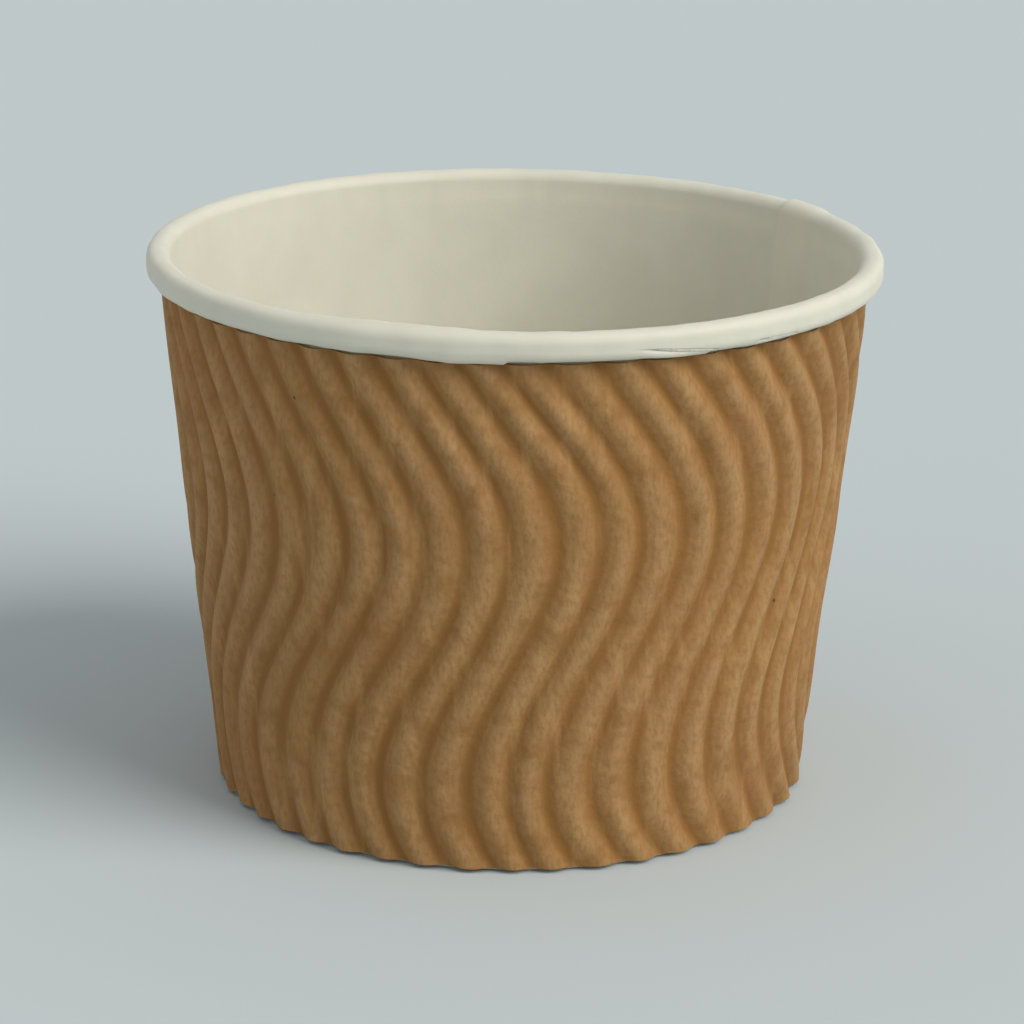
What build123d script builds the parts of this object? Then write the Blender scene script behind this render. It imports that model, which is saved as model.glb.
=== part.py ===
from build123d import *
from math import asin, atan2, ceil, cos, degrees, pi, radians, sin, tan
import os

# Ripple paper cup: a conical cup of coated board inside a fluted kraft sleeve.
# Millimetres, +Z up, origin at the centre of the base. Headings are turns from the front (-Y) towards +X.

# Cup wall
cup_height = 68.0
rim_diameter = 90.0
base_diameter = 71.3
wall_thickness = 0.35

# Rolled rim, a little taller than it is wide; its turns are one solid with flat-sided curves
roll_width = 2.95
roll_height = 3.4
roll_tuck = 0.4
roll_facets = 2

# Side seam of the wall, where the blank laps over itself on the inside
side_lap_width = 8.0
side_lap_heading = 120.0

# Base: the wall's edge turns in as a hem and grips the skirt of the bottom disc
hem_height = 6.0
disc_thickness = 0.35
disc_recess = 7.2
seal_gap = 0.05

# Ripple sleeve: a fan-shaped blank with parallel wavy flutes, so that they lean more towards its seam
sleeve_thickness = 0.3
sleeve_glue_gap = 0.2
sleeve_lift = 0.6
sleeve_rim_gap = 0.5
flute_depth = 0.8
flute_pitch = 5.05
flute_offset = 4.87
ripple_length = 62.3
ripple_swing = 6.1
ripple_start = 25.1
blank_heading = -30.0
ripple_steps = 8

# Seam of the sleeve: flutes are pressed flat beside it, and one end steps up over the other
sleeve_lap = 8.0
pressed_margin = 1.5
fade_width = 1.6
step_clearance = 0.8

# One flute across its pitch, from the middle of a valley: place, and share of the depth it is raised
ridge_half_share = 0.22
flute_bends = (
    (0.0, 0.0),
    (0.5 - ridge_half_share, 1.0),
    (0.5 + ridge_half_share, 1.0),
)

# Cone of the wall: its middle runs from the base to a tangent of the roll
roll_radius = (roll_width - wall_thickness) / 2
roll_middle = Vector((rim_diameter - roll_width) / 2, cup_height - roll_width / 2)
wall_foot = Vector((base_diameter - wall_thickness) / 2, 0)
foot_to_roll = roll_middle - wall_foot
cone_angle = atan2(foot_to_roll.X, foot_to_roll.Y) - asin(roll_radius / foot_to_roll.length)
wall_slope = tan(cone_angle)
roll_foot_height = cup_height - roll_height
mouth_radius = rim_diameter / 2 - roll_width

# Second layer of the side seam: rooted halfway into the wall, and standing a board's thickness inside it
lap_depth = 1.5 * wall_thickness
lap_inset = wall_thickness / 2 + lap_depth / 2
quarter_turn = 90


def wall_radius(height):
    """Outer radius of the wall at a height above the base."""
    return base_diameter / 2 + wall_slope * height


def wall_point(inset, height):
    """Point of the XZ section at a depth inwards from the wall's outer face."""
    return Vector(wall_radius(height) - inset, height)


def arc_points(middle, radius, start, turn, facets):
    """Points of a flat-sided arc that turns clockwise, in degrees, after its start."""
    angles = [radians(start - turn * step / facets) for step in range(1, facets + 1)]
    return [middle + Vector(cos(angle), sin(angle)) * radius for angle in angles]


def board_section(points, thickness):
    """Closed section of a board of even thickness whose middle runs through the points."""
    runs = [(end - start).normalized() for start, end in zip(points, points[1:])]
    left = []
    right = []
    for point, before, after in zip(points, runs[:1] + runs, runs + runs[-1:]):
        mitre = (before + after).normalized().rotate(Axis.Z, 90)
        reach = thickness / 2 / mitre.dot(before.rotate(Axis.Z, 90))
        left.append(point + mitre * reach)
        right.append(point - mitre * reach)
    return Plane.XZ * make_face(Polyline(*left, *reversed(right), close=True))


def roll_section():
    """Section of the rolled rim, from the mouth over the top and down to the wall's outer face."""
    radius = roll_width / 2
    lean = degrees(cone_angle)
    low_middle = roll_middle - Vector(0, roll_height - roll_width)
    points = arc_points(roll_middle, radius, 180, lean, 1)
    points += arc_points(roll_middle, radius, 180 - lean, 90 - lean, roll_facets)
    points += arc_points(roll_middle, radius, 90, 90, roll_facets)
    points += [low_middle + Vector(radius, 0)]
    points += arc_points(low_middle, radius, 0, 90, roll_facets)
    points += [wall_point(wall_thickness / 2, roll_foot_height + roll_tuck)]
    return Plane.XZ * make_face(Polyline(*points, close=True))


def cup_wall():
    """Wall with its hem at the base, its roll at the rim and its side seam."""
    middle = wall_thickness / 2
    hem_inset = wall_thickness + 2 * seal_gap + disc_thickness + middle
    path = [wall_point(hem_inset, hem_height), wall_point(hem_inset, middle), wall_point(middle, middle)]
    path += arc_points(roll_middle, roll_radius, 180, degrees(cone_angle), 1)
    wall = revolve(board_section(path, wall_thickness) + roll_section(), Axis.Z)

    lap_foot = wall_point(lap_inset, disc_recess + seal_gap)
    lap = board_section([lap_foot, wall_point(lap_inset, roll_middle.Y)], lap_depth)
    lap_turn = degrees(side_lap_width / mouth_radius)
    lap_start = side_lap_heading - quarter_turn - lap_turn / 2
    return wall + Rot(Z=lap_start) * revolve(lap, Axis.Z, revolution_arc=lap_turn)


def bottom_disc():
    """Flat disc with a skirt turned down all round, held between the wall and its hem."""
    middle = disc_thickness / 2
    inset = wall_thickness + seal_gap + middle
    corner = wall_point(inset, disc_recess - middle)
    path = [Vector(0, corner.Y), corner, wall_point(inset, wall_thickness + seal_gap)]
    return revolve(board_section(path, disc_thickness), Axis.Z)


def flute_heading(offset, slant):
    """Turn round the cup from the blank's middle at which a flute line crosses a slant distance."""
    lean = asin(offset / slant)
    for _ in range(8):
        along = slant * cos(lean) - sleeve_slant(sleeve_lift) - ripple_start
        lean = asin((offset + ripple_swing * sin(2 * pi * along / ripple_length)) / slant)
    return lean / sin(cone_angle)


def spread(start, end, count):
    """Evenly spaced values between two ends, without the ends."""
    return [start + (end - start) * (step + 1) / (count + 1) for step in range(count)]


def sleeve_radius(height):
    """Radius of the sleeve's inner face in a valley, at a height above the base."""
    return wall_radius(height) + sleeve_glue_gap


def sleeve_slant(height):
    """Distance from the tip of the sleeve's cone, as on the flat blank."""
    return sleeve_radius(height) / sin(cone_angle)


def blank_half_width(height):
    """Distance from the blank's middle line to its edge at one height, square to that line."""
    return sleeve_slant(height) * sin(edge_turn * sin(cone_angle))


sleeve_top = roll_foot_height - sleeve_rim_gap
sleeve_middle_radius = sleeve_radius((sleeve_lift + sleeve_top) / 2)
edge_turn = pi + sleeve_lap / 2 / sleeve_middle_radius
step_turn = pi - (sleeve_lap / 2 + step_clearance) / sleeve_middle_radius
pressed_turn = step_turn - pressed_margin / sleeve_middle_radius
fade_turn = fade_width / sleeve_middle_radius
lap_rise = sleeve_thickness + sleeve_glue_gap
widest = max(blank_half_width(sleeve_lift), blank_half_width(sleeve_top)) + ripple_swing
flutes_each_way = ceil(widest / flute_pitch)


def flute_turns(height):
    """Turn and lift of every bend of every flute at one height, also of those that have run out."""
    turns = []
    for flute in range(-flutes_each_way, flutes_each_way):
        for place, lift in flute_bends:
            offset = flute_offset + (flute + place) * flute_pitch
            turns.append((flute_heading(offset, sleeve_slant(height)), lift * flute_depth))
    return turns


def sleeve_profile(height):
    """Turn and lift of the sleeve's inner face at one height, from its under edge to its upper one."""
    bends = flute_turns(height)
    free = [(turn, lift) for turn, lift in bends if abs(turn) < pressed_turn]
    run_out_before = sum(turn <= -pressed_turn for turn, lift in bends)
    run_out_after = sum(turn >= pressed_turn for turn, lift in bends)
    under = [-edge_turn] + spread(-edge_turn, -pressed_turn, run_out_before) + [-pressed_turn]
    upper = [step_turn] + spread(step_turn, edge_turn, run_out_after) + [edge_turn]
    profile = [(turn, 0.0) for turn in under]
    profile += [(turn, lift * min(1.0, (pressed_turn - abs(turn)) / fade_turn)) for turn, lift in free]
    profile += [(pressed_turn, 0.0)]
    profile += [(turn, lap_rise) for turn in upper]
    return profile


def sleeve_row(height, lift):
    """Points of the sleeve's face round the cup at one height, lifted from its inner face."""
    row = []
    for turn, rise in sleeve_profile(height):
        radius = sleeve_radius(height) + rise + lift
        heading = radians(blank_heading) + turn
        row.append(Vector(radius * sin(heading), -radius * cos(heading), height))
    return row


def flat_facets(lower, upper):
    """Flat triangles that join two rows of points."""
    facets = []
    for left, right, high_left, high_right in zip(lower, lower[1:], upper, upper[1:]):
        facets.append(Face(Wire.make_polygon([left, right, high_right])))
        facets.append(Face(Wire.make_polygon([left, high_right, high_left])))
    return facets


def ripple_sleeve():
    """Fluted sheet wrapped round the wall, its ends lapped and glued."""
    rise = (sleeve_top - sleeve_lift) / ripple_steps
    heights = [sleeve_lift + rise * step for step in range(ripple_steps + 1)]
    inner = [sleeve_row(height, 0) for height in heights]
    outer = [sleeve_row(height, sleeve_thickness) for height in heights]
    faces = [Face(Wire.make_polygon(outer[end] + inner[end][::-1])) for end in (0, -1)]
    for step in range(ripple_steps):
        faces += flat_facets(outer[step], outer[step + 1])
        faces += flat_facets(inner[step], inner[step + 1])
        for end in (0, -1):
            lower = [outer[step][end], inner[step][end]]
            upper = [outer[step + 1][end], inner[step + 1][end]]
            faces += flat_facets(lower, upper)
    return Solid(Shell(faces))


wall = cup_wall()
disc = bottom_disc()
sleeve = ripple_sleeve()

if __name__ == "__main__":
    os.makedirs("parts", exist_ok=True)
    export_step(wall, "parts/cup_wall.step")
    export_step(disc, "parts/bottom_disc.step")
    export_step(sleeve, "parts/ripple_sleeve.step")
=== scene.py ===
from math import asin, atan2, ceil, cos, pi, radians, sin, tan

import bpy
from bpy.props import FloatProperty, FloatVectorProperty, IntProperty, PointerProperty
from bpy.types import Operator, Panel, PropertyGroup
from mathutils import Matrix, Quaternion, Vector, noise


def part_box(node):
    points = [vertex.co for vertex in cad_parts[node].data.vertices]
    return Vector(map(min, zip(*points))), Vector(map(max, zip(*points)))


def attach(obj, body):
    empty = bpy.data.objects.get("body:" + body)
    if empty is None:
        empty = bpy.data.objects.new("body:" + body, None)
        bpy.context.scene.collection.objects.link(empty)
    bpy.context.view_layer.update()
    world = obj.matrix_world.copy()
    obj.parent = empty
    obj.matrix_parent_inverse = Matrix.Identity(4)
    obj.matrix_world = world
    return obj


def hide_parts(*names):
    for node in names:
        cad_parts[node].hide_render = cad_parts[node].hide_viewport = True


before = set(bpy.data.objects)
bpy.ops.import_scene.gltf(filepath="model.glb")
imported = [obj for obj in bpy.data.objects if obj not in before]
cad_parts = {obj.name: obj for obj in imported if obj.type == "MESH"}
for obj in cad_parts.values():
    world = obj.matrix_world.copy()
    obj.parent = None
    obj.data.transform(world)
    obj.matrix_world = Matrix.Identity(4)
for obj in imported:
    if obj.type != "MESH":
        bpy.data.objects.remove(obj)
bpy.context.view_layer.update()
wall_low, wall_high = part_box("cup_wall")
disc_low, disc_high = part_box("bottom_disc")
sleeve_low, sleeve_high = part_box("ripple_sleeve")

bl_info = {
    "name": "Ripple Paper Cup",
    "version": (1, 0, 0),
    "blender": (4, 5, 0),
    "location": "3D View > Sidebar > Ripple Cup",
    "description": "Builds a paper cup with a rolled rim, a pressed bottom and a fluted kraft sleeve",
    "category": "Mesh",
}

# Metres. Headings are turns from the front (-Y) towards +X.
MM = 0.001

# Edges sharper than these stay crisp
BOARD_CREASE = radians(35)
SLEEVE_CREASE = radians(50)

# Turn of the hem's fold from face to face
FOLD_STEP = radians(20)

# Size of the dents that put the roll out of true
WAVER_CELL = 4 * MM

# Rings of the disc's pressed middle, as shares of its radius
MIDDLE_RINGS = (0.66, 0.33, 0.02)

# Places that the lamps shine from, how wide their light spreads, and tints
KEY_PLACE = (1.3, -0.8, 1.25)
KEY_SPREAD = radians(38)
KEY_TINT = (1.0, 0.98, 0.94)
FILL_PLACE = (-0.8, -0.5, 0.35)
FILL_SPREAD = radians(45)
FILL_TINT = (0.92, 0.97, 1.0)
SKY_TINT = (0.96, 0.985, 1.0)


def length(name, description, default):
    """Length that a user can set in the sidebar."""
    return FloatProperty(name=name, description=description, default=default, precision=5, unit="LENGTH")


def angle(name, description, default):
    """Angle that a user can set in the sidebar, given in degrees."""
    return FloatProperty(name=name, description=description, default=radians(default), subtype="ANGLE")


def share(name, description, default):
    """Plain factor that a user can set in the sidebar."""
    return FloatProperty(name=name, description=description, default=default, min=0.0)


def count(name, description, default):
    """Whole number that a user can set in the sidebar."""
    return IntProperty(name=name, description=description, default=default, min=1)


def colour(name, description, red, green, blue):
    """Colour that a user can set in the sidebar, given as display values from 0 to 255."""
    linear = [(value / 255) ** 2.2 for value in (red, green, blue)]
    return FloatVectorProperty(name=name, description=description, default=linear, subtype="COLOR", max=1.0)


class RippleCupWall(PropertyGroup):
    """Sizes of the board wall with its hem and its rolled rim."""

    height: length("Height", "Height of the cup", wall_high.z)
    rim_diameter: length("Rim diameter", "Outside of the rolled rim", wall_high.x - wall_low.x)
    base_diameter: length("Base diameter", "Outside of the wall where it stands", 71.3 * MM)
    thickness: length("Board", "Thickness of the board", 0.35 * MM)
    roll_width: length("Roll width", "Width of the rolled rim", 2.95 * MM)
    roll_height: length("Roll height", "Height of the rolled rim", 3.4 * MM)
    roll_squareness: share("Roll squareness", "2 for a round roll, more for one with a flatter face", 2.8)
    tuck_share: share("Tuck", "Radius of the inner turn as a share of the outer one", 0.7)
    tuck_turn: angle("Tuck turn", "How far the inner turn goes", 100.0)
    hem_height: length("Hem", "Height of the hem that grips the bottom's skirt", 6.0 * MM)
    fold_radius: length("Fold", "Radius of the hem's fold, on the outside", 0.575 * MM)
    lap_width: length("Lap", "Width of the wall's glued side seam", 8.0 * MM)
    lap_heading: angle("Lap heading", "Turn from the front to the side seam", 120.0)
    lap_ease: length("Lap ease", "Width over which the seam's inner layer eases out", 3.0 * MM)
    roll_waver: length("Roll waver", "How far the roll is pressed out of true", 0.25 * MM)
    columns: count("Columns", "Faces round the wall", 480)
    wall_rows: count("Rows", "Faces up the plain wall", 10)
    bend_step: angle("Bend step", "Turn of the roll's curve from face to face", 7.5)
    lip_step: angle("Lip step", "The same under the roll, where it is creased", 3.0)


class RippleCupDisc(PropertyGroup):
    """Sizes of the pressed bottom."""

    thickness: length("Board", "Thickness of the disc", 0.35 * MM)
    top: length("Top", "Height of the disc's upper face", disc_high.z)
    skirt_foot: length("Skirt foot", "Height of the skirt's lower edge", disc_low.z)
    seal_gap: length("Seal", "Film between the skirt and the wall", 0.05 * MM)
    corner_radius: length("Corner", "Outer radius of the bend into the skirt", 0.8 * MM)
    press_depth: length("Press depth", "How far the middle is pressed down", 0.25 * MM)
    press_margin: length("Press margin", "Distance from the wall to the pressed middle", 3.5 * MM)
    press_slope: length("Press slope", "Width of the slope round the pressed middle", 1.6 * MM)
    columns: count("Columns", "Faces round the disc", 240)
    bend_step: angle("Bend step", "Turn of the corner's curve from face to face", 15.0)


class RippleCupSleeve(PropertyGroup):
    """Sizes of the fluted kraft sleeve, which is a fan-shaped blank with wavy flutes."""

    thickness: length("Paper", "Thickness of the kraft sheet", 0.3 * MM)
    glue_gap: length("Glue", "Film between the sleeve and the wall", 0.2 * MM)
    foot: length("Foot", "Height of the sleeve's lower edge", sleeve_low.z)
    top: length("Top", "Height of the sleeve's upper edge", sleeve_high.z)
    flute_depth: length("Flute depth", "How far a ridge stands off its valleys", 0.8 * MM)
    flute_pitch: length("Flute pitch", "Distance from valley to valley", 5.05 * MM)
    flute_offset: length("Flute offset", "From the blank's middle line to the first valley", 4.87 * MM)
    ripple_length: length("Ripple length", "Length of one wave along a flute", 62.3 * MM)
    ripple_swing: length("Ripple swing", "How far a flute swings to each side", 6.1 * MM)
    ripple_start: length("Ripple start", "Distance along the blank to a wave's start", 25.1 * MM)
    blank_heading: angle("Blank heading", "Turn from the front to the blank's middle line", -30.0)
    lap: length("Lap", "Width of the glued seam", 8.0 * MM)
    pressed_margin: length("Pressed margin", "Flat paper beside the seam's step", 1.5 * MM)
    fade_width: length("Fade", "Width over which a flute runs out into the flat", 1.6 * MM)
    step_clearance: length("Step", "Width of the step over the seam's lower layer", 0.8 * MM)
    waver: length("Waver", "How far a flute strays from its line", 0.8 * MM)
    uneven_depth: share("Uneven depth", "Share by which the flutes' depth varies", 0.4)
    ridge_fullness: share("Ridge fullness", "At 1 the valleys are sharp and at 2 as round as the ridges", 1.8)
    rows: count("Rows", "Faces from the foot to the top", 56)


class RippleCupPaper(PropertyGroup):
    """Colours of the papers, with painted shade for the flutes' valleys and partly painted light for their
    ridges.
    """

    board: colour("Board", "Coated board of the wall", 213, 209, 192)
    disc: colour("Disc", "Coated board of the bottom", 210, 206, 188)
    kraft: colour("Kraft", "Kraft sheet", 156, 116, 71)
    # Lighter kraft on the ridges: partly rubbed wear, partly painted light
    kraft_ridge_wear_and_light: colour("Kraft ridges", "Kraft where it is rubbed on the ridges", 168, 131, 88)
    # Painted shade: this darker kraft fills the flutes' valleys. The mottle and the grain also use it as a
    # darker tone of the paper.
    kraft_dark_and_valley_shade: colour("Kraft valleys", "Kraft where it is pressed in the valleys", 137, 96, 49)
    kraft_stain: colour("Kraft stains", "Kraft where it is a little redder", 150, 101, 60)
    kraft_fibre: colour("Kraft fibres", "Pale fibres in the kraft sheet", 186, 147, 98)
    kraft_fleck: colour("Kraft flecks", "Dark flecks in the kraft sheet", 74, 50, 30)


class RippleCupStage(PropertyGroup):
    """Floor, lamps and camera."""

    floor: colour("Floor", "Floor and backdrop", 191, 200, 202)
    floor_size: length("Floor size", "Side of the floor", 8.0)
    sky_level: share("Sky", "Strength of the light from all round", 0.5)
    key_strength: share("Key lamp", "Strength of the lamp at the upper right", 2.4)
    fill_strength: share("Fill lamp", "Strength of the lamp at the left", 0.18)
    camera_distance: length("Camera distance", "Distance in front of the cup's axis", 435.3 * MM)
    camera_height: length("Camera height", "Height above the floor", 169.3 * MM)
    aim_height: length("Aim", "Height that the camera looks at", 33.5 * MM)
    camera_roll: angle("Camera roll", "Lean of the camera", 0.7)
    lens: share("Lens", "Focal length in millimetres", 128.0)


def choose_alone(piece):
    """Makes a piece the only chosen one."""
    bpy.ops.object.select_all(action="DESELECT")
    piece.select_set(True)
    bpy.context.view_layer.objects.active = piece


def apply_modifier(piece, kind, **settings):
    """Adds a modifier with its settings and applies it."""
    choose_alone(piece)
    modifier = piece.modifiers.new(kind.title(), kind)
    for name, value in settings.items():
        setattr(modifier, name, value)
    bpy.ops.object.modifier_apply(modifier=modifier.name)


def turned_sheet(name, path, columns):
    """Sheet of revolution: a circle at the path's first point, extruded and resized to each next one."""
    bpy.ops.object.select_all(action="DESELECT")
    radius, height = path[0]
    bpy.ops.mesh.primitive_circle_add(vertices=columns, radius=radius, location=(0, 0, height))
    sheet = bpy.context.active_object
    sheet.name = name
    sheet.data.name = name
    bpy.ops.object.mode_set(mode="EDIT")
    for next_radius, next_height in path[1:]:
        rise = (0, 0, next_height - height)
        bpy.ops.mesh.extrude_region_move(TRANSFORM_OT_translate={"value": rise})
        growth = next_radius / radius
        centre = (0, 0, next_height)
        bpy.ops.transform.resize(value=(growth, growth, 1), center_override=centre)
        radius, height = next_radius, next_height
    bpy.ops.object.mode_set(mode="OBJECT")
    bpy.ops.object.transform_apply(location=True, rotation=True, scale=True)
    return sheet


def face_normals(piece, outwards):
    """Turns all normals one way. Outwards says whether those of the upright faces should leave the axis."""
    choose_alone(piece)
    bpy.ops.object.mode_set(mode="EDIT")
    bpy.ops.mesh.select_all(action="SELECT")
    bpy.ops.mesh.normals_make_consistent(inside=False)
    bpy.ops.object.mode_set(mode="OBJECT")
    middle = (wall_low.z + wall_high.z) / 2
    judge = min(piece.data.polygons, key=lambda face: abs(face.center.z - middle))
    leaves = judge.normal.x * judge.center.x + judge.normal.y * judge.center.y > 0
    if leaves != outwards:
        bpy.ops.object.mode_set(mode="EDIT")
        bpy.ops.mesh.flip_normals()
        bpy.ops.object.mode_set(mode="OBJECT")


def smooth(piece, limit):
    """Smooth shading, with edges sharper than the limit left crisp."""
    choose_alone(piece)
    bpy.ops.object.shade_smooth_by_angle(angle=limit)


def heading_of(point):
    """Turn of a point from the front, from -pi to pi."""
    return atan2(point.x, -point.y)


def turn_between(heading, other):
    """Smallest turn from one heading to another."""
    return (other - heading + pi) % (2 * pi) - pi


def ease(value):
    """Smooth step from 0 to 1."""
    value = max(0.0, min(1.0, value))
    return value * value * (3 - 2 * value)


def arc(middle, radius, start, turn, step, power=2.0):
    """Points of an arc that turns clockwise after its start. Its power is 2 when round, more when squarer."""
    points = []
    steps = max(1, ceil(abs(turn) / step))
    for number in range(1, steps + 1):
        across = cos(start - turn * number / steps)
        up = sin(start - turn * number / steps)
        reach = radius / (abs(across) ** power + abs(up) ** power) ** (1 / power)
        points.append((middle[0] + reach * across, middle[1] + reach * up))
    return points


def roll_middle(wall):
    """Radius and height of the middle of the roll's upper curve."""
    return wall.rim_diameter / 2 - wall.roll_width / 2, wall.height - wall.roll_width / 2


def cone_angle(wall):
    """Lean of the wall, whose middle runs from the base to a tangent of the roll."""
    across = roll_middle(wall)[0] - (wall.base_diameter - wall.thickness) / 2
    up = roll_middle(wall)[1]
    radius = (wall.roll_width - wall.thickness) / 2
    return atan2(across, up) - asin(radius / Vector((across, up)).length)


def wall_radius(wall, height):
    """Outer radius of the wall at a height."""
    return wall.base_diameter / 2 + tan(cone_angle(wall)) * height


def wall_path(wall, disc):
    """Radii and heights along the board's outer face: hem, fold, wall, roll and tuck."""
    lean = cone_angle(wall)
    hem_inset = 2 * wall.thickness + disc.thickness + 2 * disc.seal_gap
    fold = wall.fold_radius
    fold_middle = (wall_radius(wall, fold) - fold, fold)
    path = [(wall_radius(wall, wall.hem_height) - hem_inset, wall.hem_height)]
    path += [(fold_middle[0] - fold, fold)]
    path += arc(fold_middle, fold, -pi, -pi, FOLD_STEP)
    middle = roll_middle(wall)
    inner_radius = wall.roll_width / 2 - wall.thickness
    wall_end = (middle[0] - inner_radius * cos(lean), middle[1] + inner_radius * sin(lean))
    for row in range(1, wall.wall_rows + 1):
        height = fold + (wall_end[1] - fold) * row / wall.wall_rows
        path.append((wall_radius(wall, height), height))
    path += arc(middle, inner_radius, pi - lean, pi / 2 - lean, wall.bend_step)
    path += arc(middle, inner_radius, pi / 2, pi / 2, wall.bend_step, wall.roll_squareness)
    low = (middle[0], middle[1] - wall.roll_height + wall.roll_width)
    path += [(low[0] + inner_radius, low[1])]
    path += arc(low, inner_radius, 0, pi / 2, wall.lip_step, wall.roll_squareness)
    tuck_radius = (inner_radius + wall.thickness / 2) * wall.tuck_share - wall.thickness / 2
    tuck_middle = (low[0], low[1] - inner_radius + tuck_radius)
    path += arc(tuck_middle, tuck_radius, -pi / 2, wall.tuck_turn, 2 * wall.bend_step)
    return path


def lap_layers(wall, point):
    """Layers of board at a point: two in the side seam, one elsewhere."""
    if point.z < disc_high.z:
        return 1.0
    start = wall.lap_width / 2 / wall_radius(wall, point.z)
    width = wall.lap_ease / wall_radius(wall, point.z)
    turn = turn_between(wall.lap_heading, heading_of(point))
    if turn < -start or turn > start:
        return 1.0
    return 1.0 + ease((turn + start) / width)


def roll_angle(wall, point):
    """Angle of a point round the middle of the roll's lower curve, 0 outwards and -90 degrees below."""
    radius, height = roll_middle(wall)
    height -= wall.roll_height - wall.roll_width
    return atan2(point.z - height, Vector((point.x, point.y)).length - radius)


def press_roll(piece, wall, start, end, middle, width, push, sudden=True):
    """Presses a line or a lip into the roll between two headings, at two angles round it, in degrees."""
    mark = piece.vertex_groups.new(name="mark")
    foot = wall.height - wall.roll_height - wall.thickness
    for vertex in piece.data.vertices:
        turn = (heading_of(vertex.co) - radians(start)) / radians(end - start)
        if vertex.co.z > foot and 0 < turn < 1:
            line = middle[0] + (middle[1] - middle[0]) * turn
            away = abs(roll_angle(wall, vertex.co) - radians(line)) / radians(width)
            swell = ease(2 * turn) * (1 if sudden else ease(2 - 2 * turn))
            mark.add([vertex.index], swell * ease(1 - away), "REPLACE")
    apply_modifier(piece, "DISPLACE", strength=push, mid_level=0.0, vertex_group="mark")
    piece.vertex_groups.remove(piece.vertex_groups["mark"])


class RIPPLECUP_OT_wall(Operator):
    """Make the board wall with its hem, its side seam and its rolled rim"""

    bl_idname = "ripplecup.wall"
    bl_label = "Rolled Wall"
    bl_options = {"REGISTER", "UNDO"}

    def execute(self, context):
        wall = context.scene.ripple_cup_wall
        disc = context.scene.ripple_cup_disc
        piece = turned_sheet("rolled_wall", wall_path(wall, disc), wall.columns)
        face_normals(piece, outwards=True)
        roll_foot = wall.height - wall.roll_height
        roll = piece.vertex_groups.new(name="roll")
        layers = piece.vertex_groups.new(name="layers")
        for vertex in piece.data.vertices:
            roll.add([vertex.index], ease((vertex.co.z - roll_foot) / wall.thickness), "REPLACE")
            layers.add([vertex.index], lap_layers(wall, vertex.co) / 2, "REPLACE")
        clouds = bpy.data.textures.new("roll_waver", "CLOUDS")
        clouds.noise_scale = WAVER_CELL
        apply_modifier(piece, "DISPLACE", texture=clouds, texture_coords="LOCAL", mid_level=0.5,
                       strength=wall.roll_waver, vertex_group="roll")
        apply_modifier(piece, "SOLIDIFY", thickness=2 * wall.thickness, offset=-1, use_even_offset=True,
                       vertex_group="layers", thickness_vertex_group=0.0)
        # As on the real rim: a lip and a swell at the front left, two lines and a lip at the front right
        press_roll(piece, wall, start=-17, end=-1.5, middle=(-75, -75), width=50, push=0.3 * MM)
        press_roll(piece, wall, start=-40, end=4, middle=(120, 120), width=60, push=0.45 * MM, sudden=False)
        press_roll(piece, wall, start=17, end=30, middle=(-4, -44), width=9, push=-0.42 * MM)
        press_roll(piece, wall, start=17, end=30, middle=(-30, -75), width=28, push=0.2 * MM)
        press_roll(piece, wall, start=37, end=46, middle=(-32, -40), width=9, push=-0.36 * MM)
        # Made up for the sides and the back, in the same manner
        press_roll(piece, wall, start=96, end=104, middle=(-25, -45), width=9, push=-0.3 * MM)
        press_roll(piece, wall, start=-98, end=-80, middle=(-70, -70), width=45, push=0.25 * MM)
        press_roll(piece, wall, start=-160, end=-146, middle=(-10, -42), width=9, push=-0.35 * MM)
        smooth(piece, BOARD_CREASE)
        piece.data.materials.append(coated_board("coated_board", context.scene.ripple_cup_paper.board))
        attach(piece, "root")
        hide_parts("cup_wall")
        return {"FINISHED"}


def disc_path(wall, disc):
    """Radii and heights along the disc's upper face: skirt, corner, flat edge and pressed middle."""
    inset = wall.thickness + disc.seal_gap
    corner_height = disc.top - disc.corner_radius
    corner = (wall_radius(wall, corner_height) - inset - disc.corner_radius, corner_height)
    path = [(wall_radius(wall, disc.skirt_foot) - inset, disc.skirt_foot)]
    path += [(corner[0] + disc.corner_radius, corner_height)]
    path += arc(corner, disc.corner_radius, 0, -pi / 2, disc.bend_step)
    edge = corner[0] + disc.corner_radius - disc.press_margin
    path += [(edge, disc.top)]
    slope_steps = 4
    for step in range(1, slope_steps + 1):
        part = step / slope_steps
        path.append((edge - disc.press_slope * part, disc.top - disc.press_depth * ease(part)))
    middle = edge - disc.press_slope
    for part in MIDDLE_RINGS:
        path.append((middle * part, disc.top - disc.press_depth))
    return path


class RIPPLECUP_OT_disc(Operator):
    """Make the pressed bottom with its skirt"""

    bl_idname = "ripplecup.disc"
    bl_label = "Pressed Bottom"
    bl_options = {"REGISTER", "UNDO"}

    def execute(self, context):
        wall = context.scene.ripple_cup_wall
        disc = context.scene.ripple_cup_disc
        piece = turned_sheet("pressed_disc", disc_path(wall, disc), disc.columns)
        bpy.ops.object.mode_set(mode="EDIT")
        bpy.ops.mesh.merge(type="CENTER")
        bpy.ops.object.mode_set(mode="OBJECT")
        face_normals(piece, outwards=True)
        apply_modifier(piece, "SOLIDIFY", thickness=disc.thickness, offset=-1, use_even_offset=True)
        smooth(piece, BOARD_CREASE)
        piece.data.materials.append(coated_board("disc_board", context.scene.ripple_cup_paper.disc))
        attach(piece, "root")
        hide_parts("bottom_disc")
        return {"FINISHED"}


def sleeve_radius(wall, sleeve, height):
    """Radius of the sleeve's inner face in a valley."""
    return wall_radius(wall, height) + sleeve.glue_gap


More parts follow.
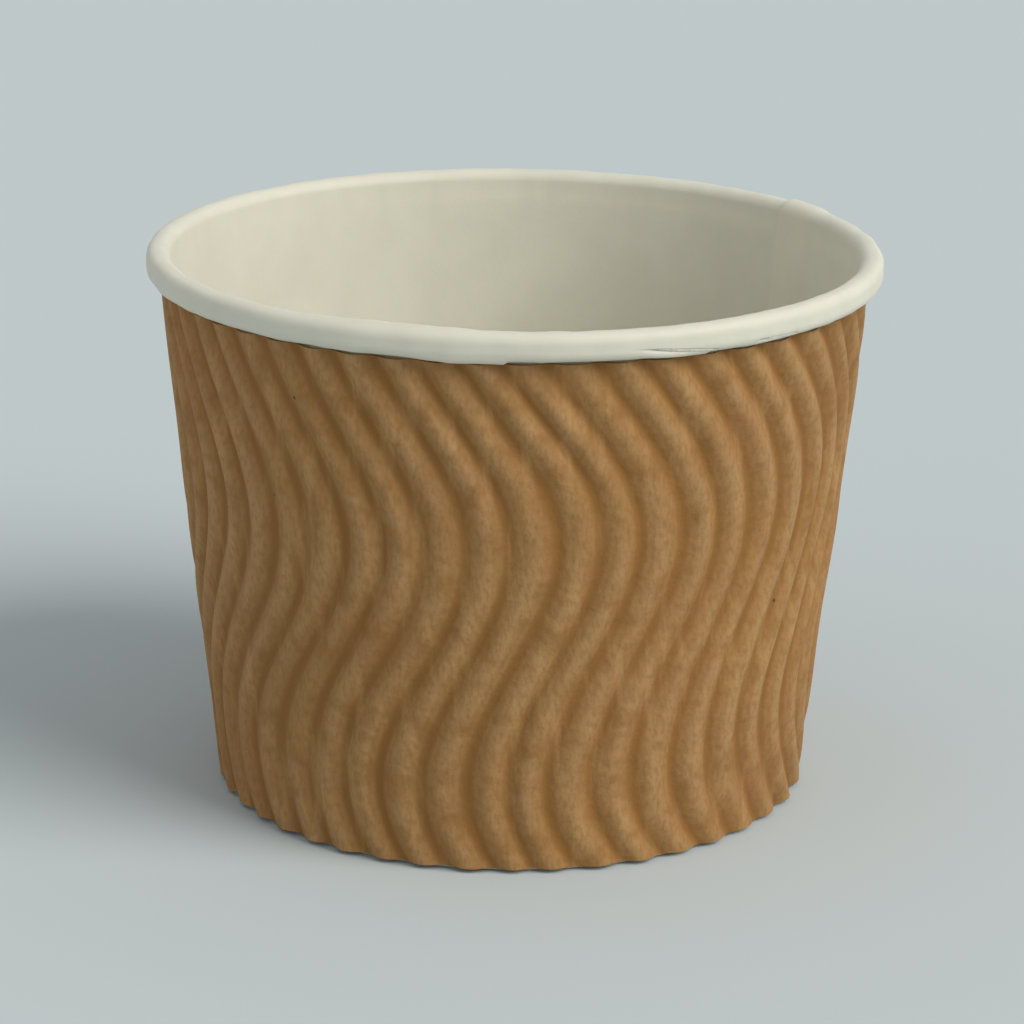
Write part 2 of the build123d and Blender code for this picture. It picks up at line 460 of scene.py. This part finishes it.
class SleeveBlank:
    """The flat blank of the sleeve: where its flutes run and how they wrap round the cup."""

    # Places of the columns across one flute, from the middle of a valley, closest together beside it
    PLACES = (0.0, 0.035, 0.08, 0.14, 0.22, 0.32, 0.43, 0.57, 0.68, 0.78, 0.86, 0.92, 0.965)

    # Rounds in which a flute's lean settles
    LEAN_ROUNDS = 4

    # How a flute strays: its change from flute to flute, the length of one swerve, and where the draw starts
    STRAY_CHANGE = 0.6
    STRAY_LENGTH = 18 * MM
    STRAY_DRAW = 3.1

    # How its depth varies: the same across and along the blank
    DEPTH_WIDTH = 9 * MM
    DEPTH_LENGTH = 14 * MM
    DEPTH_DRAW = 7.7

    def __init__(self, wall, sleeve):
        self.wall = wall
        self.sleeve = sleeve
        self.cone = cone_angle(wall)
        middle_radius = sleeve_radius(wall, sleeve, (sleeve.foot + sleeve.top) / 2)
        self.edge_turn = pi + sleeve.lap / 2 / middle_radius
        self.step_turn = pi - (sleeve.lap / 2 + sleeve.step_clearance) / middle_radius
        self.pressed_turn = self.step_turn - sleeve.pressed_margin / middle_radius
        self.fade_turn = sleeve.fade_width / middle_radius
        half_width = self.slant(sleeve.top) * sin(self.edge_turn * sin(self.cone))
        self.each_way = ceil((half_width + sleeve.ripple_swing + sleeve.waver) / sleeve.flute_pitch)

    def slant(self, height):
        """Distance from the tip of the sleeve's cone."""
        return sleeve_radius(self.wall, self.sleeve, height) / sin(self.cone)

    def turn(self, offset, slant):
        """Turn from the blank's middle line at which a flute line crosses a slant distance."""
        sleeve = self.sleeve
        foot = self.slant(sleeve.foot)
        change = offset / sleeve.flute_pitch * self.STRAY_CHANGE
        line = noise.noise(Vector((change, slant / self.STRAY_LENGTH, self.STRAY_DRAW)))
        lean = asin(offset / slant)
        for _ in range(self.LEAN_ROUNDS):
            along = slant * cos(lean) - foot - sleeve.ripple_start
            swing = sleeve.ripple_swing * sin(2 * pi * along / sleeve.ripple_length)
            lean = asin((offset + swing + sleeve.waver * line) / slant)
        return lean / sin(self.cone)

    def lift(self, place, offset, slant):
        """Height of the sheet over its valleys at a place across a flute."""
        place_on_blank = (offset / self.DEPTH_WIDTH, slant / self.DEPTH_LENGTH, self.DEPTH_DRAW)
        uneven = noise.noise(Vector(place_on_blank))
        rounded = sin(pi * place) ** self.sleeve.ridge_fullness
        return self.sleeve.flute_depth * rounded * (1 - self.sleeve.uneven_depth * uneven)

    def row(self, height):
        """Turn and lift of every column at one height, from the under edge to the upper one."""
        sleeve = self.sleeve
        slant = self.slant(height)
        columns = []
        for flute in range(-self.each_way, self.each_way):
            for place in self.PLACES:
                offset = sleeve.flute_offset + (flute + place) * sleeve.flute_pitch
                columns.append((self.turn(offset, slant), self.lift(place, offset, slant)))
        free = [(turn, lift) for turn, lift in columns if abs(turn) < self.pressed_turn]
        before = sum(turn <= -self.pressed_turn for turn, lift in columns)
        after = sum(turn >= self.pressed_turn for turn, lift in columns)
        rise = sleeve.thickness + sleeve.glue_gap
        row = [(turn, 0.0) for turn in spread(-self.edge_turn, -self.pressed_turn, before)]
        row += [(turn, lift * ease((self.pressed_turn - abs(turn)) / self.fade_turn)) for turn, lift in free]
        row += [(self.pressed_turn, 0.0)]
        row += [(turn, rise) for turn in spread(self.step_turn, self.edge_turn, after)]
        return row


def spread(start, end, inside):
    """Evenly spaced values from a start to an end, with a number of values between them."""
    return [start + (end - start) * step / (inside + 1) for step in range(inside + 2)]


class RIPPLECUP_OT_sleeve(Operator):
    """Make the fluted kraft sleeve, wrapped round the wall and lapped at its seam"""

    bl_idname = "ripplecup.sleeve"
    bl_label = "Kraft Sleeve"
    bl_options = {"REGISTER", "UNDO"}

    def execute(self, context):
        wall = context.scene.ripple_cup_wall
        sleeve = context.scene.ripple_cup_sleeve
        blank = SleeveBlank(wall, sleeve)
        heights = spread(sleeve.foot, sleeve.top, sleeve.rows - 1)
        rows = [blank.row(height) for height in heights]
        columns = len(rows[0]) - 1
        bpy.ops.object.select_all(action="DESELECT")
        bpy.ops.mesh.primitive_grid_add(x_subdivisions=columns, y_subdivisions=sleeve.rows, size=1)
        piece = bpy.context.active_object
        piece.name = "kraft_sleeve"
        piece.data.name = "kraft_sleeve"
        blank_map = piece.data.uv_layers.active
        blank_map.name = "blank"
        flute = piece.data.attributes.new("flute", "FLOAT", "POINT")
        flat = {}
        for vertex in piece.data.vertices:
            column = round((vertex.co.x + 0.5) * columns)
            level = round((vertex.co.y + 0.5) * sleeve.rows)
            turn, lift = rows[level][column]
            height = heights[level]
            radius = sleeve_radius(wall, sleeve, height) + lift + sleeve.thickness / 2
            heading = sleeve.blank_heading + turn
            vertex.co = (radius * sin(heading), -radius * cos(heading), height)
            # Lift as a share of the flute's depth. The kraft uses it for its painted valley shade and its
            # partly painted ridge light.
            flute.data[vertex.index].value = lift / sleeve.flute_depth
            lean = turn * sin(blank.cone)
            flat[vertex.index] = (blank.slant(height) * sin(lean), blank.slant(height) * cos(lean))
        for loop in piece.data.loops:
            blank_map.data[loop.index].uv = flat[loop.vertex_index]
        face_normals(piece, outwards=True)
        apply_modifier(piece, "SOLIDIFY", thickness=sleeve.thickness, offset=0, use_even_offset=True)
        smooth(piece, SLEEVE_CREASE)
        piece.data.materials.append(kraft_sheet(context.scene.ripple_cup_paper))
        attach(piece, "root")
        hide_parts("ripple_sleeve")
        return {"FINISHED"}


class Shading:
    """Node tree of one material, with short ways to add and join nodes."""

    def __init__(self, name):
        self.material = bpy.data.materials.new(name)
        self.material.use_nodes = True
        self.tree = self.material.node_tree
        self.shader = self.tree.nodes["Principled BSDF"]

    def node(self, kind, inputs=(), **settings):
        """Adds a node. Inputs are pairs of a socket's name or number and a value or another node's socket."""
        node = self.tree.nodes.new("ShaderNode" + kind)
        for name, value in settings.items():
            setattr(node, name, value)
        for socket, value in inputs:
            self.feed(node.inputs[socket], value)
        return node

    def feed(self, socket, value):
        """Sets a socket to a value, or joins another node's socket to it."""
        if isinstance(value, bpy.types.NodeSocket):
            self.tree.links.new(value, socket)
        else:
            socket.default_value = value

    def mix(self, part, first, second):
        """Colour between two colours."""
        node = self.node("Mix", data_type="RGBA")
        for socket, value in zip((node.inputs[0], node.inputs[6], node.inputs[7]), (part, first, second)):
            self.feed(socket, value)
        return node.outputs[2]

    def between(self, value, low, high, bottom, top):
        """Value taken from one range to another and kept inside it, smoothly."""
        inputs = [(0, value), (1, low), (2, high), (3, bottom), (4, top)]
        return self.node("MapRange", inputs, interpolation_type="SMOOTHSTEP").outputs[0]

    def noise(self, place, scale, detail, stretch=(1, 1, 1)):
        """Soft noise at a place, in cells per metre, pulled along one way."""
        mapped = self.node("Mapping", [("Vector", place), ("Scale", stretch)])
        inputs = [("Vector", mapped.outputs[0]), ("Scale", scale), ("Detail", detail)]
        return self.node("TexNoise", inputs).outputs["Fac"]

    def bump(self, height, distance, strength, under=None):
        """Bump from a height, over another bump if there is one."""
        inputs = [("Height", height), ("Distance", distance), ("Strength", strength)]
        if under:
            inputs.append(("Normal", under))
        return self.node("Bump", inputs).outputs[0]


def opaque(linear):
    """Colour with its alpha."""
    return (*linear, 1.0)


def coated_board(name, tint):
    """Satin coated board: cream, a little soft to light, with a faint mottle and a fine tooth."""
    shading = Shading(name)
    place = shading.node("TexCoord").outputs["Object"]
    mottle = shading.noise(place, 120, 4)
    pale = opaque([min(1.0, value * 1.02) for value in tint])
    deep = opaque([value * 0.97 for value in tint])
    mottled = shading.mix(shading.between(mottle, 0.3, 0.7, 0, 1), deep, pale)
    shading.feed(shading.shader.inputs["Base Color"], mottled)
    shading.shader.inputs["Roughness"].default_value = 0.55
    shading.shader.inputs["Specular IOR Level"].default_value = 0.35
    shading.shader.inputs["Subsurface Weight"].default_value = 0.5
    shading.shader.inputs["Subsurface Radius"].default_value = (1.0, 0.85, 0.7)
    shading.shader.inputs["Subsurface Scale"].default_value = 1.2 * MM
    tooth = shading.noise(place, 1800, 3)
    dents = shading.noise(place, 160, 2)
    under = shading.bump(dents, 0.1 * MM, 0.2)
    shading.feed(shading.shader.inputs["Normal"], shading.bump(tooth, 0.04 * MM, 0.4, under))
    return shading.material


def kraft_sheet(paper):
    """Uncoated kraft: lighter ridges (partly rubbed wear, partly painted light), painted shade in the
    valleys, fibres along the blank, mottle and a few dark flecks.
    """
    shading = Shading("kraft_sheet")
    blank = shading.node("UVMap", uv_map="blank").outputs[0]
    lift = shading.node("Attribute", attribute_name="flute").outputs["Fac"]
    # Painted shade: the kraft darkens towards the middle of each valley, following the flute's lift
    low = shading.mix(shading.between(lift, 0.0, 0.45, 0, 1), opaque(paper.kraft_dark_and_valley_shade), opaque(paper.kraft))
    # Lighter towards the ridges' tops: partly rubbed wear, partly painted light
    body = shading.mix(shading.between(lift, 0.6, 1.0, 0, 0.7), low, opaque(paper.kraft_ridge_wear_and_light))
    stains = shading.noise(blank, 45, 3)
    stained = shading.mix(shading.between(stains, 0.5, 0.75, 0, 0.6), body, opaque(paper.kraft_stain))
    mottle = shading.noise(blank, 260, 6)
    clouded = shading.mix(shading.between(mottle, 0.48, 0.68, 0, 0.55), stained, opaque(paper.kraft_dark_and_valley_shade))
    fibre = shading.noise(blank, 420, 6, (1, 0.16, 1))
    fibred = shading.mix(shading.between(fibre, 0.48, 0.7, 0, 0.35), clouded, opaque(paper.kraft_fibre))
    grain = shading.noise(blank, 2200, 2, (1, 0.4, 1))
    grained = shading.mix(shading.between(grain, 0.42, 0.68, 0, 0.4), fibred, opaque(paper.kraft_dark_and_valley_shade))
    cells = shading.node("TexVoronoi", [("Vector", blank), ("Scale", 230)])
    near = shading.between(cells.outputs["Distance"], 0.035, 0.07, 1, 0)
    parts = shading.node("SeparateColor", [(0, cells.outputs["Color"])])
    rare = shading.between(parts.outputs[0], 0.86, 0.9, 0, 0.85)
    fleck = shading.node("Math", [(0, near), (1, rare)], operation="MULTIPLY").outputs[0]
    shading.feed(shading.shader.inputs["Base Color"], shading.mix(fleck, grained, opaque(paper.kraft_fleck)))
    shading.shader.inputs["Roughness"].default_value = 0.78
    shading.shader.inputs["Specular IOR Level"].default_value = 0.3
    under = shading.bump(shading.noise(blank, 380, 5), 0.4 * MM, 0.8)
    shading.feed(shading.shader.inputs["Normal"], shading.bump(grain, 0.06 * MM, 0.5, under))
    return shading.material


def floor_paint(stage):
    """Plain matt floor."""
    shading = Shading("floor")
    shading.shader.inputs["Base Color"].default_value = opaque(stage.floor)
    shading.shader.inputs["Roughness"].default_value = 0.9
    shading.shader.inputs["Specular IOR Level"].default_value = 0.1
    return shading.material


def light_sky(stage):
    """Even light from all round. Straight looks and reflections see the backdrop's plain colour."""
    world = bpy.data.worlds.new("sky")
    bpy.context.scene.world = world
    world.use_nodes = True
    tree = world.node_tree
    light = tree.nodes["Background"]
    light.inputs["Color"].default_value = opaque(SKY_TINT)
    light.inputs["Strength"].default_value = stage.sky_level
    backdrop = tree.nodes.new("ShaderNodeBackground")
    backdrop.inputs["Color"].default_value = opaque(stage.floor)
    path = tree.nodes.new("ShaderNodeLightPath")
    seen = tree.nodes.new("ShaderNodeMath")
    seen.operation = "MAXIMUM"
    tree.links.new(path.outputs["Is Camera Ray"], seen.inputs[0])
    tree.links.new(path.outputs["Is Glossy Ray"], seen.inputs[1])
    join = tree.nodes.new("ShaderNodeMixShader")
    tree.links.new(seen.outputs[0], join.inputs[0])
    tree.links.new(light.outputs[0], join.inputs[1])
    tree.links.new(backdrop.outputs[0], join.inputs[2])
    tree.links.new(join.outputs[0], tree.nodes["World Output"].inputs["Surface"])


def add_lamp(name, place, spread_angle, strength, tint):
    """Soft lamp far away, which shines past a place towards the cup with even strength."""
    turn = (-Vector(place)).to_track_quat("-Z", "Y").to_euler()
    bpy.ops.object.light_add(type="SUN", location=place, rotation=turn)
    lamp = bpy.context.active_object
    lamp.name = name
    lamp.data.angle = spread_angle
    lamp.data.energy = strength
    lamp.data.color = tint


class RIPPLECUP_OT_stage(Operator):
    """Set up the floor, the lamps and the camera"""

    bl_idname = "ripplecup.stage"
    bl_label = "Stage"
    bl_options = {"REGISTER", "UNDO"}

    def execute(self, context):
        stage = context.scene.ripple_cup_stage
        bpy.ops.object.select_all(action="DESELECT")
        bpy.ops.mesh.primitive_plane_add(size=stage.floor_size)
        floor = bpy.context.active_object
        floor.name = "floor"
        floor.data.materials.append(floor_paint(stage))
        light_sky(stage)
        add_lamp("key_lamp", KEY_PLACE, KEY_SPREAD, stage.key_strength, KEY_TINT)
        add_lamp("fill_lamp", FILL_PLACE, FILL_SPREAD, stage.fill_strength, FILL_TINT)
        target = (0, 0, stage.aim_height)
        place = Vector((0, -stage.camera_distance, stage.camera_height))
        look = (Vector(target) - place).to_track_quat("-Z", "Y")
        bpy.ops.object.camera_add(location=place)
        camera = bpy.context.active_object
        camera.name = "camera"
        camera.rotation_mode = "QUATERNION"
        camera.rotation_quaternion = look @ Quaternion((0, 0, 1), stage.camera_roll)
        camera.data.lens = stage.lens
        context.scene.camera = camera
        context.scene.view_settings.view_transform = "Standard"
        return {"FINISHED"}


class RIPPLECUP_PT_sidebar(Panel):
    """Sizes, colours and pieces of the ripple cup"""

    bl_idname = "RIPPLECUP_PT_sidebar"
    bl_label = "Ripple Cup"
    bl_space_type = "VIEW_3D"
    bl_region_type = "UI"
    bl_category = "Ripple Cup"

    def draw(self, context):
        groups = (
            (context.scene.ripple_cup_wall, RIPPLECUP_OT_wall),
            (context.scene.ripple_cup_disc, RIPPLECUP_OT_disc),
            (context.scene.ripple_cup_sleeve, RIPPLECUP_OT_sleeve),
            (context.scene.ripple_cup_paper, None),
            (context.scene.ripple_cup_stage, RIPPLECUP_OT_stage),
        )
        for settings, operator in groups:
            box = self.layout.box()
            for name in settings.__annotations__:
                box.prop(settings, name)
            if operator:
                box.operator(operator.bl_idname)


SETTINGS = {
    "ripple_cup_wall": RippleCupWall,
    "ripple_cup_disc": RippleCupDisc,
    "ripple_cup_sleeve": RippleCupSleeve,
    "ripple_cup_paper": RippleCupPaper,
    "ripple_cup_stage": RippleCupStage,
}
OPERATORS = (RIPPLECUP_OT_wall, RIPPLECUP_OT_disc, RIPPLECUP_OT_sleeve, RIPPLECUP_OT_stage)
CLASSES = (*SETTINGS.values(), *OPERATORS, RIPPLECUP_PT_sidebar)


def register():
    """Makes the classes and the scene's settings known."""
    for each in CLASSES:
        bpy.utils.register_class(each)
    for name, group in SETTINGS.items():
        setattr(bpy.types.Scene, name, PointerProperty(type=group))


def unregister():
    """Takes the settings and the classes away again."""
    for name in SETTINGS:
        delattr(bpy.types.Scene, name)
    for each in reversed(CLASSES):
        bpy.utils.unregister_class(each)


def main():
    """Builds the cup and its stage."""
    register()
    bpy.ops.ripplecup.wall()
    bpy.ops.ripplecup.disc()
    bpy.ops.ripplecup.sleeve()
    bpy.ops.ripplecup.stage()


if __name__ == "__main__":
    main()
